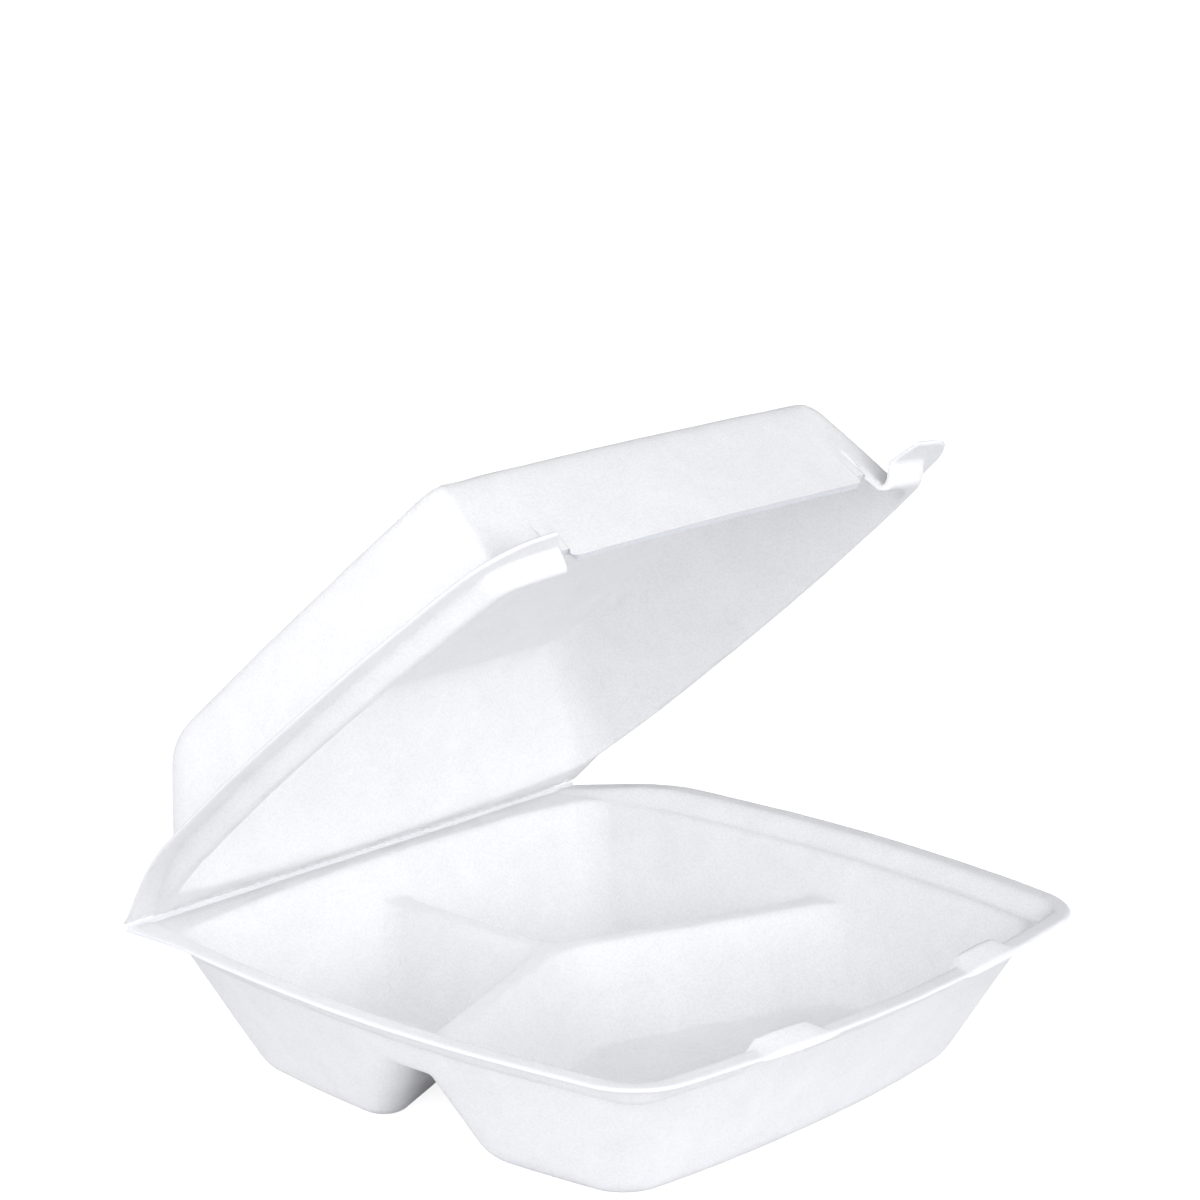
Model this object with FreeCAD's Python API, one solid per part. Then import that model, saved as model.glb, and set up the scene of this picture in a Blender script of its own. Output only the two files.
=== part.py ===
import FreeCAD, Part
import math
import os

# Hinged foam clamshell container with three compartments, thermoformed from one sheet of expanded
# polystyrene. The tray stands on the floor with its hinge side at +Y and its latch side at -Y; X runs
# along the hinge. The origin lies on the floor, under the middle of the open container. Sizes are in mm.

V = FreeCAD.Vector

# Sheet
SHEET = 2.2                 # thickness of the foam sheet
LIP_SHEET = 1.4             # and where the lip is pressed thinner

# Rim outline, shared by tray and lid: three outward bowed sides with round front corners
WIDTH = 241.0               # across the middle of the bowed sides
FRONT_Y = -115.85           # middle of the bowed front edge of the tray
HINGE_Y = 114.25            # the crease
SIDE_BOW = 500.0            # radius of the bowed left and right sides
SIDE_BOW_Y = 6.75           # where the sides are widest
FRONT_BOW = 560.0           # radius of the bowed front
HINGE_BOW = 640.0           # radius of the bowed wall beside the hinge
RIM_CORNER = 14.0           # plan radius of the front corners at the rim edge
STEP_CORNER = 5.0           # and at the foot of the slanted step

# Tray heights, from the floor
TRAY_HEIGHT = 50.0          # floor to the top of the lip
RIM_STEP = 6.3              # the lip stands this far above the ledge
DIVIDER_DROP = 19.0         # the divider tops lie this far below the lip
LEDGE_Z = TRAY_HEIGHT - RIM_STEP
DIVIDER_Z = TRAY_HEIGHT - DIVIDER_DROP

# Rim section, measured inwards from the rim edge
LIP = 7.0                   # flat lip
RISER_FOOT = 11.0           # where the slanted step meets the ledge
WALL_TOP = 14.0             # where the ledge turns down into the compartment wall
TAPER_Y = 77.75             # behind this the lip runs down to the crease
CREASE_HALF = 105.5         # half length of the crease

# Compartments
FLOOR_INSET = 36.8          # wall foot, measured inwards from the rim edge
HINGE_WALL_TOP = 105.75
HINGE_WALL_FOOT = 83.75
WALL_CORNER = 9.0           # plan radius of the wall corners at the ledge
DIVIDER_HALF = 3.6          # half width of a divider at its top
DIVIDER_DRAFT = 0.5         # sideways per unit of depth
JUNCTION_Y = 28.25          # where the three dividers meet
ARM_ANGLE = 20.0            # the two side dividers fall towards the front by this angle
POCKET_CORNER = 8.0         # plan radius of the compartment corners
FLOOR_ROUND = 4.0           # inside radius between wall and floor
FLAT_BOW = 4000.0           # radius that makes a divider side all but straight

# Latch lugs in the front lip: the compartment wall runs up past the ledge to a sunk flat
LUG_X = 47.0
LUG_HALF = 16.0             # half width at the lip edge
LUG_ANGLE = 28.0            # the two sides close towards the compartment by this angle
LUG_SINK = 2.0              # the flat lies this far below the lip
LUG_DRAFT = 0.4             # sideways per unit of depth
LUG_CORNER = 4.0            # plan radius of its corners
LUG_REACH = 18.0            # from the lip edge inwards, before the wall cuts it off
LUG_OPEN = 9.0              # it runs out this far past the lip edge before it is trimmed
LUG_WALL = 1.1              # wall behind the lug, in sheet thicknesses

# Lid, described closed over the tray and opened at the end
AXIS_Z = LEDGE_Z + 0.3      # height of the crease line
LID_GAP = 0.3               # lid sheet above the crease line
LID_STEP = 6.1              # lid lip above lid ledge
LID_FRONT_Y = -118.95       # the lid corners reach a little past the tray lip
FIT = 0.6                   # room between lid step and tray step
LID_HEIGHT = 40.7           # crease line to the top of the dome
LID_WALL_FOOT = 15.5        # dome wall foot inside, from the rim edge
LID_WALL_TOP = 29.0         # dome wall top inside, from the rim edge
LID_HINGE_FOOT = 10.0       # dome hinge wall foot inside, from the crease
LID_HINGE_TOP = 42.0        # dome hinge wall top inside, from the crease
LID_BOW = 1800.0            # radius of the flatter bow round the top panel
LID_CORNER = 12.0           # plan radius of the dome's front corners at the foot
LID_TOP_CORNER = 12.0       # and round the top panel
LID_BACK_CORNER = 11.0      # plan radius of the dome's corners beside the hinge
DOME_ROUND = 5.0            # radius between dome wall and top panel
OPEN_ANGLE = 40.8           # the lid stands open by this angle
LATCH_HALF = 72.0           # half length of the gap in the lid's front lip
LATCH_FLARE = 11.0          # the gap widens this much towards the lip edge
STRIP_HALF = 66.0           # half length of the bevelled edge along the dome foot
STRIP_RISE = 2.8            # height of the cut edge above the ledge
STRIP_NOTCH = 5.0           # height of the small notches at its ends
LATCH_SIDE = 12.0           # the cut runs out this far past the lip edge

# Tear line beside the crease
SLIT_COUNT = 33
SLIT_PITCH = 6.2
SLIT_LENGTH = 3.2
SLIT_WIDTH = 0.8
SLIT_FROM_CREASE = 3.2
CREASE_GAP = 0.2            # each flange stops this far from the crease line

OVERCUT = 3.0               # cutting bodies run on this far


def slanted(run):
    """Sideways size of the sheet where it slants by run per unit of height."""
    return SHEET * math.sqrt(1.0 + run * run)


LEDGE_UNDER = LEDGE_Z - SHEET
WALL_DRAFT = (FLOOR_INSET - WALL_TOP) / LEDGE_Z
HINGE_DRAFT = (HINGE_WALL_TOP - HINGE_WALL_FOOT) / LEDGE_Z
RISER_DRAFT = (RISER_FOOT - LIP) / RIM_STEP
RISER_WIDTH = slanted(RISER_DRAFT)
LID_LEDGE_Z = AXIS_Z + LID_GAP
LID_LIP_Z = LID_LEDGE_Z + LID_STEP
LID_TOP_Z = AXIS_Z + LID_HEIGHT
LID_RISER_FOOT = RISER_FOOT + FIT - SHEET * RISER_DRAFT + RISER_WIDTH
LUG_Z = TRAY_HEIGHT - LUG_SINK


def front_side(inset, bow=FRONT_BOW, y=FRONT_Y):
    return (0.0, y + bow, bow - inset)


def left_side(inset, bow=SIDE_BOW):
    return (bow - WIDTH / 2, SIDE_BOW_Y, bow - inset)


def right_side(inset, bow=SIDE_BOW):
    return (WIDTH / 2 - bow, SIDE_BOW_Y, bow - inset)


def hinge_side(y, bow=HINGE_BOW):
    return (0.0, y - bow, bow)


def straight_side(x, y, angle, inset):
    """A side through x, y whose outward direction is angle; the region lies behind it."""
    a = math.radians(angle)
    reach = FLAT_BOW
    return (x - reach * math.cos(a), y - reach * math.sin(a), reach - inset)


def corner_centre(first, second, radius):
    """Centre of the corner arc that touches two neighbouring side circles from inside."""
    r1 = first[2] - radius
    r2 = second[2] - radius
    dx = second[0] - first[0]
    dy = second[1] - first[1]
    d = math.hypot(dx, dy)
    along = (r1 * r1 - r2 * r2 + d * d) / (2 * d)
    across = math.sqrt(r1 * r1 - along * along)
    return (first[0] + (dx * along - dy * across) / d, first[1] + (dy * along + dx * across) / d)


def point_on(circle, towards):
    """Point of the circle on the ray from its centre through another point."""
    dx = towards[0] - circle[0]
    dy = towards[1] - circle[1]
    k = circle[2] / math.hypot(dx, dy)
    return (circle[0] + dx * k, circle[1] + dy * k)


def arc(circle, start, end, z):
    middle = point_on(circle, ((start[0] + end[0]) / 2, (start[1] + end[1]) / 2))
    return Part.Arc(V(*start, z), V(*middle, z), V(*end, z)).toShape()


def outline(sides, radii, z):
    """Closed wire of bowed sides in anticlockwise order; radii[i] rounds the corner after side i."""
    count = len(sides)
    centres = [corner_centre(sides[i], sides[(i + 1) % count], radii[i]) for i in range(count)]
    edges = []
    for i in range(count):
        start = point_on(sides[i], centres[i - 1])
        end = point_on(sides[i], centres[i])
        edges.append(arc(sides[i], start, end, z))
        following = point_on(sides[(i + 1) % count], centres[i])
        edges.append(arc((*centres[i], radii[i]), end, following, z))
    return Part.Wire(edges)


def tapered(*wires):
    return Part.makeLoft(list(wires), True, True)


def rim_wire(inset, z, front=FRONT_Y, back=HINGE_Y + 20):
    """Rim outline moved inwards by inset; it runs on past the hinge and is cut off there."""
    sides = [front_side(inset, y=front), right_side(inset), hinge_side(back), left_side(inset)]
    return outline(sides, [max(RIM_CORNER - inset, STEP_CORNER)] * 4, z)


def behind(y):
    return Part.makeBox(600, 400, 300, V(-300, y, -100))


def wall_wire(z, shell=0.0):
    """Outline of the one wide hollow above the dividers, at height z; shell widens it to the outer face."""
    inset = WALL_TOP + WALL_DRAFT * (LEDGE_Z - z) - shell * slanted(WALL_DRAFT)
    hinge = HINGE_WALL_TOP - HINGE_DRAFT * (LEDGE_Z - z) + shell * slanted(HINGE_DRAFT)
    sides = [front_side(inset), right_side(inset), hinge_side(hinge), left_side(inset)]
    share = (z - DIVIDER_Z) / (LEDGE_Z - DIVIDER_Z)
    corner = POCKET_CORNER + share * (WALL_CORNER - POCKET_CORNER) + shell * SHEET
    return outline(sides, [corner] * 4, z)


def divider_inset(z, shell):
    return DIVIDER_HALF + DIVIDER_DRAFT * (DIVIDER_Z - z) - shell * slanted(DIVIDER_DRAFT)


def front_pocket_wire(z, shell=0.0):
    inset = WALL_TOP + WALL_DRAFT * (LEDGE_Z - z) - shell * slanted(WALL_DRAFT)
    divider = divider_inset(z, shell)
    sides = [front_side(inset), right_side(inset),
             straight_side(0, JUNCTION_Y, 90 - ARM_ANGLE, divider),
             straight_side(0, JUNCTION_Y, 90 + ARM_ANGLE, divider),
             left_side(inset)]
    return outline(sides, [POCKET_CORNER + shell * SHEET] * 5, z)


def back_pocket_wire(z, shell=0.0):
    """The left one of the two small compartments beside the hinge."""
    inset = WALL_TOP + WALL_DRAFT * (LEDGE_Z - z) - shell * slanted(WALL_DRAFT)
    hinge = HINGE_WALL_TOP - HINGE_DRAFT * (LEDGE_Z - z) + shell * slanted(HINGE_DRAFT)
    divider = divider_inset(z, shell)
    sides = [straight_side(0, JUNCTION_Y, ARM_ANGLE - 90, divider),
             straight_side(0, JUNCTION_Y, 0, divider),
             hinge_side(hinge), left_side(inset)]
    return outline(sides, [POCKET_CORNER + shell * SHEET] * 4, z)


def flat_edges(shape, z):
    """Edges that lie wholly at height z."""
    return [e for e in shape.Edges if abs(e.BoundBox.ZMin - z) < 0.01 and abs(e.BoundBox.ZMax - z) < 0.01]


def mirrored(shape):
    return shape.mirror(V(0, 0, 0), V(1, 0, 0))


def pocket(wire_at, top, bottom, shell, radius):
    """One compartment as a solid block, round along its floor."""
    block = tapered(wire_at(top, shell), wire_at(bottom, shell))
    return block.makeFillet(radius, flat_edges(block, bottom))


def all_pockets(top, bottom, shell, radius):
    front = pocket(front_pocket_wire, top, bottom, shell, radius)
    left = pocket(back_pocket_wire, top, bottom, shell, radius)
    return front.fuse([left, mirrored(left)])


def rim_section(y, edge_x, top, bottom, ledge, foot):
    """Closed sheet profile of the right rim in the plane at y; foot is where the top of the step ends."""
    under = foot + SHEET * RISER_DRAFT - RISER_WIDTH
    inner = edge_x - WALL_TOP - 3
    points = [(edge_x, top), (edge_x - foot + (top - ledge) * RISER_DRAFT, top), (edge_x - foot, ledge),
              (inner, ledge), (inner, ledge - SHEET), (edge_x - under, ledge - SHEET),
              (edge_x - under + (bottom - ledge + SHEET) * RISER_DRAFT, bottom), (edge_x, bottom)]
    return [V(x, y, z) for x, z in points]


def between(start, end):
    """Solid between two closed point rows of equal count, side by side face for face."""
    faces = [Part.Face(Part.makePolygon(row + row[:1])) for row in (start, end)]
    for i in range(len(start)):
        first = Part.makeLine(start[i - 1], start[i])
        second = Part.makeLine(end[i - 1], end[i])
        faces.append(Part.makeRuledSurface(first, second))
    solid = Part.Solid(Part.makeShell(faces))
    return solid if solid.Volume > 0 else solid.reversed()


def side_x(y):
    """Half width of the rim at y."""
    return WIDTH / 2 - SIDE_BOW + math.sqrt(SIDE_BOW ** 2 - (y - SIDE_BOW_Y) ** 2)


def hinge_end(top, bottom, ledge, foot):
    """The rim runs down and in to the crease at both ends of the hinge."""
    start = rim_section(TAPER_Y - 0.2, side_x(TAPER_Y), top, bottom, ledge, foot)
    end = rim_section(HINGE_Y - CREASE_GAP, CREASE_HALF, ledge + 0.2, ledge + 0.2 - SHEET, ledge, foot)
    right = between(start, end)
    return [right, mirrored(right)]


def hinge_flange(under):
    """Flat strip between the two hinge ends."""
    x1 = side_x(TAPER_Y) - RISER_FOOT - 1
    x2 = CREASE_HALF - RISER_FOOT - 1
    y1 = TAPER_Y - 1
    y2 = HINGE_Y - CREASE_GAP
    points = [V(-x1, y1, under), V(x1, y1, under), V(x2, y2, under), V(-x2, y2, under)]
    return Part.Face(Part.makePolygon(points + points[:1])).extrude(V(0, 0, SHEET))


def lug_wire(x, z, grow):
    """Outline of a latch lug at height z, closing towards the compartment; grow widens it."""
    inset = LUG_DRAFT * (z - LUG_Z) - grow
    edge = FRONT_Y + x * x / (2 * FRONT_BOW)
    sides = [straight_side(x, edge - LUG_OPEN, -90, 0),
             straight_side(x + LUG_HALF, edge, LUG_ANGLE, inset),
             straight_side(x, edge + LUG_REACH, 90, inset),
             straight_side(x - LUG_HALF, edge, 180 - LUG_ANGLE, inset)]
    return outline(sides, [LUG_CORNER] * 4, z)


def lug(low, high, grow):
    """The same block in both latch lugs, wider towards the bottom."""
    blocks = [tapered(lug_wire(x, low, grow), lug_wire(x, high, grow)) for x in (LUG_X, -LUG_X)]
    return blocks[0].fuse(blocks[1])


def sunk_flat():
    """Cutting body that sinks the lug into the lip, wider towards the top."""
    blocks = []
    for x in (LUG_X, -LUG_X):
        blocks.append(tapered(lug_wire(x, LUG_Z, -LUG_DRAFT), lug_wire(x, TRAY_HEIGHT + 1, 2 * LUG_DRAFT * LUG_SINK)))
    return blocks[0].fuse(blocks[1])


def tray_rim():
    """Lip, slanted step and ledge as one plate, closed in the middle, with the latch lugs."""
    under = RISER_FOOT + SHEET * RISER_DRAFT - RISER_WIDTH
    lip_under = TRAY_HEIGHT - LIP_SHEET
    lip = Part.Face(rim_wire(0, lip_under)).extrude(V(0, 0, LIP_SHEET))
    rise = lip_under - LEDGE_UNDER
    outer = tapered(rim_wire(under, LEDGE_UNDER), rim_wire(under - RISER_DRAFT * rise, lip_under))
    inner = tapered(rim_wire(RISER_FOOT, LEDGE_Z),
                    rim_wire(RISER_FOOT - RISER_DRAFT * (RIM_STEP + OVERCUT), TRAY_HEIGHT + OVERCUT))
    lobes = lug(LUG_Z - SHEET, lip_under + 0.5, SHEET).common(tapered(rim_wire(0, 0), rim_wire(0, TRAY_HEIGHT)))
    raised = lug(LEDGE_UNDER, LUG_Z, SHEET / 2).common(outer)
    walls = tapered(wall_wire(DIVIDER_Z, LUG_WALL), wall_wire(TRAY_HEIGHT, LUG_WALL))
    cavity = lug(LEDGE_UNDER - OVERCUT, LUG_Z - SHEET, -SHEET / 2).cut(walls)
    return lip.fuse([outer, lobes]).cut(inner).fuse(raised).cut(cavity).cut(behind(TAPER_Y))


def tray():
    ends = hinge_end(TRAY_HEIGHT, TRAY_HEIGHT - LIP_SHEET, LEDGE_Z, RISER_FOOT)
    rim = tray_rim().fuse(ends + [hinge_flange(LEDGE_UNDER)])
    walls = tapered(wall_wire(LEDGE_UNDER + 1, 1), wall_wire(DIVIDER_Z - SHEET, 1))
    outside = rim.fuse(walls).fuse(all_pockets(DIVIDER_Z - SHEET, 0, 1, FLOOR_ROUND + SHEET))
    hollow = tapered(wall_wire(TRAY_HEIGHT, 0), wall_wire(DIVIDER_Z, 0))
    hollow = hollow.fuse(all_pockets(DIVIDER_Z, SHEET, 0, FLOOR_ROUND))
    return outside.cut(hollow).cut(sunk_flat()).removeSplitter()


def lid_wall_wire(z, shell=0.0):
    """Outline of the dome at height z above the closed tray; shell widens it to the outer face."""
    share = (z - LID_LEDGE_Z) / (LID_TOP_Z - SHEET - LID_LEDGE_Z)
    rise = LID_TOP_Z - SHEET - LID_LEDGE_Z
    wall_run = (LID_WALL_TOP - LID_WALL_FOOT) / rise
    hinge_run = (LID_HINGE_TOP - LID_HINGE_FOOT) / rise
    inset = LID_WALL_FOOT + share * (LID_WALL_TOP - LID_WALL_FOOT) - shell * slanted(wall_run)
    hinge = LID_HINGE_FOOT + share * (LID_HINGE_TOP - LID_HINGE_FOOT) - shell * slanted(hinge_run)
    bow = SIDE_BOW + share * (LID_BOW - SIDE_BOW)
    front_bow = FRONT_BOW + share * (LID_BOW - FRONT_BOW)
    front_corner = LID_CORNER + share * (LID_TOP_CORNER - LID_CORNER) + shell * SHEET
    back_corner = LID_BACK_CORNER + shell * SHEET
    sides = [front_side(inset, front_bow), right_side(inset, bow),
             hinge_side(HINGE_Y - hinge, bow), left_side(inset, bow)]
    return outline(sides, [front_corner, back_corner, back_corner, front_corner], z)


def dome(bottom, top, shell, radius):
    block = tapered(lid_wall_wire(bottom, shell), lid_wall_wire(top, shell))
    return block.makeFillet(radius, flat_edges(block, top))


def front_band(points, half):
    """Sheet profile in the plane x = 0, given as inset from the rim edge and height, swept along the bow."""
    row = [V(0, FRONT_Y + inset, z) for inset, z in points]
    face = Part.Face(Part.makePolygon(row + row[:1]))
    centre = V(0, FRONT_Y + FRONT_BOW, 0)
    angle = math.degrees(half / FRONT_BOW)
    face.rotate(centre, V(0, 0, 1), -angle)
    return face.revolve(centre, V(0, 0, 1), 2 * angle)


def latch_gap(top):
    """Cutting body of the gap: cuts the sheet square along the dome foot and flares at both ends."""
    bottom = LID_LEDGE_Z - 1
    draft = (LID_WALL_TOP - LID_WALL_FOOT) / (LID_TOP_Z - SHEET - LID_LEDGE_Z)
    inner = LID_WALL_FOOT + draft * STRIP_RISE
    z = LID_LEDGE_Z + STRIP_RISE
    skin = inner - OVERCUT
    edge = [(-LATCH_SIDE, bottom), (inner + 1, bottom), (inner + 1, z - draft), (skin, z + draft * OVERCUT),
            (skin, top), (-LATCH_SIDE, top)]
    flat = [(-LATCH_SIDE, bottom), (inner + 2, bottom), (inner + 2, LID_LEDGE_Z + STRIP_NOTCH),
            (skin, LID_LEDGE_Z + STRIP_NOTCH), (skin, top), (-LATCH_SIDE, top)]
    bevel = front_band(edge, STRIP_HALF)
    notches = front_band(flat, LATCH_HALF).cut(front_band(flat, STRIP_HALF))
    y_in = FRONT_Y + LATCH_HALF ** 2 / (2 * FRONT_BOW) + LID_WALL_FOOT
    y_out = FRONT_Y - LATCH_SIDE
    x_out = LATCH_HALF + LATCH_FLARE * (y_in - y_out) / LID_WALL_FOOT
    inside = LATCH_HALF - OVERCUT
    points = [V(inside, y_in, bottom), V(inside, y_out, bottom), V(x_out, y_out, bottom),
              V(LATCH_HALF - 0.2, y_in, bottom)]
    flare = Part.Face(Part.makePolygon(points + points[:1])).extrude(V(0, 0, top - bottom))
    return bevel.fuse([notches, flare, mirrored(flare)])


def lid_rim():
    """Lip, slanted step and ledge of the lid, closed in the middle, with the gap of the latch cut out."""
    under = RISER_FOOT + FIT
    top = LID_LIP_Z + SHEET
    lip = Part.Face(rim_wire(0, LID_LIP_Z, front=LID_FRONT_Y)).extrude(V(0, 0, LIP_SHEET))
    outer = tapered(rim_wire(under, LID_LEDGE_Z), rim_wire(under - RISER_DRAFT * LID_STEP, LID_LIP_Z))
    inner = tapered(rim_wire(LID_RISER_FOOT, LID_LEDGE_Z + SHEET),
                    rim_wire(LID_RISER_FOOT - RISER_DRAFT * (LID_STEP + OVERCUT), top + OVERCUT))
    return lip.fuse(outer).cut(inner).cut(behind(TAPER_Y))


def tear_line():
    """Row of short slits through the hinge flange of the lid."""
    slits = []
    first = -(SLIT_COUNT - 1) / 2 * SLIT_PITCH - SLIT_LENGTH / 2
    for i in range(SLIT_COUNT):
        corner = V(first + i * SLIT_PITCH, HINGE_Y - SLIT_FROM_CREASE - SLIT_WIDTH / 2, LID_LEDGE_Z - 1)
        slits.append(Part.makeBox(SLIT_LENGTH, SLIT_WIDTH, SHEET + 2, corner))
    return Part.makeCompound(slits)


def lid():
    ends = hinge_end(LID_LIP_Z + LIP_SHEET, LID_LIP_Z, LID_LEDGE_Z + SHEET, LID_RISER_FOOT)
    rim = lid_rim().fuse(ends + [hinge_flange(LID_LEDGE_Z)])
    outside = rim.fuse(dome(LID_LEDGE_Z + 1, LID_TOP_Z, 1, DOME_ROUND + SHEET))
    hollow = dome(LID_LEDGE_Z, LID_TOP_Z - SHEET, 0, DOME_ROUND)
    gap = latch_gap(LID_LIP_Z + SHEET + 1)
    closed = outside.cut(hollow).cut(gap).cut(tear_line()).removeSplitter()
    closed.rotate(V(0, HINGE_Y, AXIS_Z), V(1, 0, 0), -OPEN_ANGLE)
    return closed


def export(name, shape):
    shape.exportStep("parts/" + name + ".step")


def main():
    os.makedirs("parts", exist_ok=True)
    export("tray", tray())
    export("lid", lid())


main()
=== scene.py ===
import math

import bpy
import numpy as np
from bpy.props import FloatProperty, FloatVectorProperty, PointerProperty, StringProperty
from mathutils import Matrix, Vector, geometry, noise


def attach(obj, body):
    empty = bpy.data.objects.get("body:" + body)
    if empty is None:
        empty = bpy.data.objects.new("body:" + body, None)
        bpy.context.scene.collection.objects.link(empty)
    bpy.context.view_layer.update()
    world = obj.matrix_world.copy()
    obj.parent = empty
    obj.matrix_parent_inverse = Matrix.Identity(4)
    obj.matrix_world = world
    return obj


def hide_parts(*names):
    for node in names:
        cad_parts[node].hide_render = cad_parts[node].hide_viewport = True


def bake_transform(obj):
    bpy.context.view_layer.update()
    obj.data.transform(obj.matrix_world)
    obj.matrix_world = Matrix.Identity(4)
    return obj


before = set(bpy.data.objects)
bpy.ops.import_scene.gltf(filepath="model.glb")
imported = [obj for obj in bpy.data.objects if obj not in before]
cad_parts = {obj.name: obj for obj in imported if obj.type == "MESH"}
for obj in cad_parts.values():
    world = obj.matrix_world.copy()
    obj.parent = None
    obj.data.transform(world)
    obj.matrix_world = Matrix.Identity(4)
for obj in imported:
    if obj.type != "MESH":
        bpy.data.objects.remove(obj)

# Hinged foam food container: tray and lid as dense meshes of the thermoformed sheet, the crease that
# joins them, foam materials, floor, lamps and camera. Lengths in the shape functions are millimetres in
# the frame of the CAD parts; meshes are made in metres.

bl_info = {
    "name": "Foam clamshell container",
    "version": (1, 0, 0),
    "blender": (4, 5, 0),
    "location": "3D View > Sidebar > Container",
    "description": "Builds the foam container over its packed frame, with materials, light and camera",
    "category": "Object",
}

MM = 0.001

# Soft boxes round the container: name, place in metres, power in watts
LAMPS = (("front_low", (0.3, -1.8, 0.55), 15.0),
         ("front_high", (0.2, -1.2, 1.4), 6.5),
         ("left_low", (-1.8, 0.2, 0.6), 12.0),
         ("left_front", (-1.4, -1.1, 0.6), 11.0),
         ("right_front", (1.4, -1.2, 0.7), 4.5),
         ("back_left", (-1.2, 1.2, 1.1), 10.0))
DAYLIGHT = (0.972, 0.977, 1.0)

# Sheet and rim outline, as in the CAD parts
SHEET = 2.2
LIP_SHEET = 1.4
HALF_WIDTH = 120.5
FRONT_Y = -115.85
CREASE_Y = 114.25
FLANGE_Y = 114.05
SIDE_BOW = 500.0
SIDE_BOW_Y = 6.75
FRONT_BOW = 560.0
HINGE_BOW = 640.0
RIM_CORNER = 14.0
STEP_CORNER = 5.0
WALL_CORNER = 9.0
TAPER_Y = 77.75
CREASE_HALF = 105.5

# Heights and rim section of the tray
LIP_Z = 50.0
LEDGE_Z = 43.7
DIVIDER_Z = 31.0
LIP = 7.0
RISER_FOOT = 11.0
WALL_TOP = 14.0
RISER_DRAFT = (RISER_FOOT - LIP) / (LIP_Z - LEDGE_Z)

# Compartments
WALL_DRAFT = (36.8 - WALL_TOP) / LEDGE_Z
HINGE_WALL_TOP = 105.75
HINGE_DRAFT = 22.0 / LEDGE_Z
DIVIDER_HALF = 3.6
DIVIDER_DRAFT = 0.5
JUNCTION_Y = 28.25
ARM_ANGLE = math.radians(20.0)
POCKET_CORNER = 8.0

# Latch lugs in the front lip: ramps that climb inwards from the lip edge and drop behind
LUG_X = 47.0
LUG_HALF = 16.0
LUG_ANGLE = math.radians(28.0)
LUG_RISE = 3.4
LUG_CREST = 8.0
LUG_START = 0.5
LUG_SLOPE = 0.5
LUG_DIP = 1.2
LUG_DIP_REACH = 3.0
LUG_BACK = 11.2
LUG_BACK_SLOPE = 1.5
LUG_ROUND = 0.8
LUG_DRAFT = 0.4
LUG_CORNER = 4.0
LUG_REACH = 18.0

# Lid, described closed over the tray
AXIS_Z = 44.0
LID_LEDGE_Z = 44.3
LID_LIP_Z = 50.4
LID_TOP_Z = 82.5
LID_FRONT_Y = -118.95
LID_FIT = 0.6
LID_WALL_FOOT = 15.5
LID_WALL_TOP = 29.0
LID_HINGE_FOOT = 10.0
LID_HINGE_TOP = 42.0
LID_BOW = 1800.0
OPEN_ANGLE = math.radians(40.8)
LATCH_HALF = 72.0
LATCH_FLARE = 11.0
STRIP_HALF = 66.0
LID_LEAN = 2.5
LEFT_CORNER = 9.0
RIGHT_CORNER = 18.0
LID_BACK_CORNER = 11.0
SHIFT_SLOPE = (LID_WALL_TOP - LID_WALL_FOOT) / (LID_TOP_Z - LID_LEDGE_Z)
SKIN_LAP = 0.94

# Tear line beside the crease
SLIT_COUNT = 33
SLIT_PITCH = 6.2
SLIT_LENGTH = 3.2
SLIT_WIDTH = 0.8
SLIT_FROM_CREASE = 3.2
SLIT_MARGIN = 0.35

# Unevenness of the formed sheet: depth, size and seed step of each layer
SWAY = ((0.22, 38.0, 0), (0.07, 9.0, 5))

# Rounding of the cut edge: how far both faces draw in and how far they draw together
EDGE_PINCH = 0.5
EDGE_ROUND = 0.4

# Crease web between the flanges
CREASE_SHORT = 0.8
CREASE_REACH = 0.9
CREASE_DROP = 0.55
CREASE_COLUMNS = 120
CREASE_STEP = 0.9

# Mesh points: rings along the rim, then a staggered grid
FAR_REACH = 190.0
BISECTIONS = 34
RIM_COUNT = 900
RING_COUNT = 820
RING_FIRST = 0.9
RING_LAST = 17.0
RING_STEP = 0.95
GRID_INSET = 16.8
ROW_SPACING = 0.866
GRID_X = 122
GRID_Y = 121
GRID_DEPTH = 240
BEND_LIMIT = 0.02
FLANGE_MARGIN = 0.6
LOOP_MARGIN = 0.55
NOTCH_STEP = 0.6
NOTCH_RADIUS = 115


def round_min(a, b, r):
    """The smaller of a and b, blended along a circle of size r where the two are close."""
    near = np.maximum(2 * r * r - (a - b) ** 2, 0.0)
    return np.where(np.abs(a - b) < r, (a + b + np.sqrt(near)) / 2 - r, np.minimum(a, b))


def round_max(a, b, r):
    return -round_min(-a, -b, r)


def thick(slope):
    """Height of the sheet over a surface that rises by slope per unit of run."""
    return SHEET * math.sqrt(1.0 + slope * slope)


def front_inset(x, y, bow=FRONT_BOW, edge=FRONT_Y):
    return bow - np.hypot(x, y - edge - bow)


def side_inset(x, y, bow=SIDE_BOW):
    return bow - np.hypot(np.abs(x) + bow - HALF_WIDTH, y - SIDE_BOW_Y)


def hinge_inset(x, y, at, bow=HINGE_BOW):
    return bow - np.hypot(x, y - at + bow)


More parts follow.
